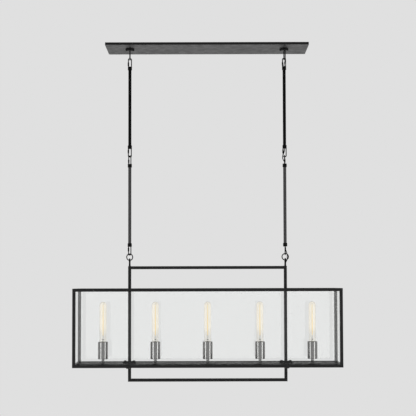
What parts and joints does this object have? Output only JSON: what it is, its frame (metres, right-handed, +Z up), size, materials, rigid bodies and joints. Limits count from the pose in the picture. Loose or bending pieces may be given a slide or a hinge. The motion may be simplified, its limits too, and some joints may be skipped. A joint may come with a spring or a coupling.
{
  "type": "linear island pendant light",
  "caption": "Long glazed open-top lantern on a rectangular hoop, hung from a thin ceiling plate by linked rods; upright tube lamps stand in cups on its floor.",
  "frame": {"origin": "centre of the ceiling plate's rim on the ceiling plane", "axes": "+Z up out of the ceiling plate, +X along the lantern, +Y away from the viewer"},
  "size_m": [1.066, 0.175, 1.356],
  "materials": {
    "black_metal": "satin black powder coat",
    "plated_steel": "plain zinc plate, hidden parts",
    "nickel": "satin nickel, soft reflections",
    "lead_jacket": "smooth flexible black jacket",
    "pane_glass": "clear float glass, polished edges",
    "lamp_glass": "clear thin bulb glass",
    "lamp_cap": "bright rolled screw cap",
    "filament": "glowing warm filament on a clear mount",
    "holder": "moulded black",
    "terminal": "moulded pale plastic"
  },
  "bodies": {
    "ceiling_fitting": {"ceiling_plate": "black_metal", "mounting_bar": "plated_steel", "hanging_studs": "plated_steel", "terminal_block": "terminal", "ceiling_collars": "black_metal", "ceiling_eyes": "black_metal", "lead_ceiling": "lead_jacket"},
    "upper_right": {"rod_upper_right": "black_metal", "fittings_upper_right": "black_metal", "lead_upper_rod": "lead_jacket"},
    "upper_left": {"rod_upper_left": "black_metal", "fittings_upper_left": "black_metal"},
    "lower_right": {"rod_lower_right": "black_metal", "fittings_lower_right": "black_metal", "lead_lower_rod": "lead_jacket", "lead_middle": "lead_jacket"},
    "lower_left": {"rod_lower_left": "black_metal", "fittings_lower_left": "black_metal"},
    "ring_right": {"ring_right": "black_metal", "lead_ring": "lead_jacket"},
    "ring_left": {"ring_left": "black_metal"},
    "lantern": {"hoop_eyes": "black_metal", "lead_hoop": "lead_jacket", "hoop_bars": "black_metal", "hoop_posts": "black_metal", "top_rails": "black_metal", "bottom_rails": "black_metal", "end_rails": "black_metal", "corner_posts": "black_metal", "top_cross_bars": "black_metal", "cross_straps": "black_metal", "long_panes": "pane_glass", "end_panes": "pane_glass", "glass_clips": "black_metal", "floor_pan": "black_metal", "wireway_cover": "black_metal", "cover_screws": "black_metal", "post_saddles": "black_metal", "saddle_screws": "black_metal", "wiring_harness": "lead_jacket", "socket_cups": "nickel", "lampholders": "holder", "stem_sleeves": "nickel", "stem_nipples": "plated_steel"},
    "lamp_1": {"lamp_1_glass": "lamp_glass", "lamp_1_cap": "lamp_cap", "lamp_1_filament": "filament"},
    "lamp_2": {"lamp_2_glass": "lamp_glass", "lamp_2_cap": "lamp_cap", "lamp_2_filament": "filament"},
    "lamp_3": {"lamp_3_glass": "lamp_glass", "lamp_3_cap": "lamp_cap", "lamp_3_filament": "filament"},
    "lamp_4": {"lamp_4_glass": "lamp_glass", "lamp_4_cap": "lamp_cap", "lamp_4_filament": "filament"},
    "lamp_5": {"lamp_5_glass": "lamp_glass", "lamp_5_cap": "lamp_cap", "lamp_5_filament": "filament"}
  },
  "joints": [
    {"name": "swing_right", "type": "hinge", "parent": "ceiling_fitting", "child": "upper_right", "pos_m": [0.314, 0, -0.0477], "axis": [1, 0, 0], "range_deg": [-45, 45], "deforming": ["lead_ceiling"]},
    {"name": "swing_left", "type": "hinge", "parent": "ceiling_fitting", "child": "upper_left", "pos_m": [-0.314, 0, -0.0477], "axis": [1, 0, 0], "range_deg": [-45, 45]},
    {"name": "sway_right", "type": "hinge", "parent": "upper_right", "child": "lower_right", "pos_m": [0.314, 0, -0.4454], "axis": [0, 1, 0], "range_deg": [-20, 20], "deforming": ["lead_middle"]},
    {"name": "sway_left", "type": "hinge", "parent": "upper_left", "child": "lower_left", "pos_m": [-0.314, 0, -0.4454], "axis": [0, 1, 0], "range_deg": [-20, 20]},
    {"name": "ring_turn_right", "type": "hinge", "parent": "lower_right", "child": "ring_right", "pos_m": [0.314, 0, -0.8474], "axis": [0, 1, 0], "range_deg": [-20, 20], "deforming": ["lead_ring"]},
    {"name": "ring_turn_left", "type": "hinge", "parent": "lower_left", "child": "ring_left", "pos_m": [-0.314, 0, -0.8474], "axis": [0, 1, 0], "range_deg": [-20, 20]},
    {"name": "lantern_tilt", "type": "hinge", "parent": "ring_right", "child": "lantern", "pos_m": [0.314, 0, -0.8691], "axis": [1, 0, 0], "range_deg": [-25, 25], "deforming": ["lead_hoop"]},
    {"name": "lamp_1_turn", "type": "hinge", "parent": "lantern", "child": "lamp_1", "pos_m": [-0.421, 0, -1.2], "axis": [0, 0, 1], "continuous": true},
    {"name": "lamp_2_turn", "type": "hinge", "parent": "lantern", "child": "lamp_2", "pos_m": [-0.2105, 0, -1.2], "axis": [0, 0, 1], "continuous": true},
    {"name": "lamp_3_turn", "type": "hinge", "parent": "lantern", "child": "lamp_3", "pos_m": [0, 0, -1.2], "axis": [0, 0, 1], "continuous": true},
    {"name": "lamp_4_turn", "type": "hinge", "parent": "lantern", "child": "lamp_4", "pos_m": [0.2105, 0, -1.2], "axis": [0, 0, 1], "continuous": true},
    {"name": "lamp_5_turn", "type": "hinge", "parent": "lantern", "child": "lamp_5", "pos_m": [0.421, 0, -1.2], "axis": [0, 0, 1], "continuous": true}
  ],
  "couplings": [
    {"joint": "swing_left", "follows": "swing_right", "ratio": 1},
    {"joint": "sway_left", "follows": "sway_right", "ratio": 1},
    {"joint": "ring_turn_right", "follows": "sway_right", "ratio": -1},
    {"joint": "ring_turn_left", "follows": "sway_right", "ratio": -1}
  ]
}
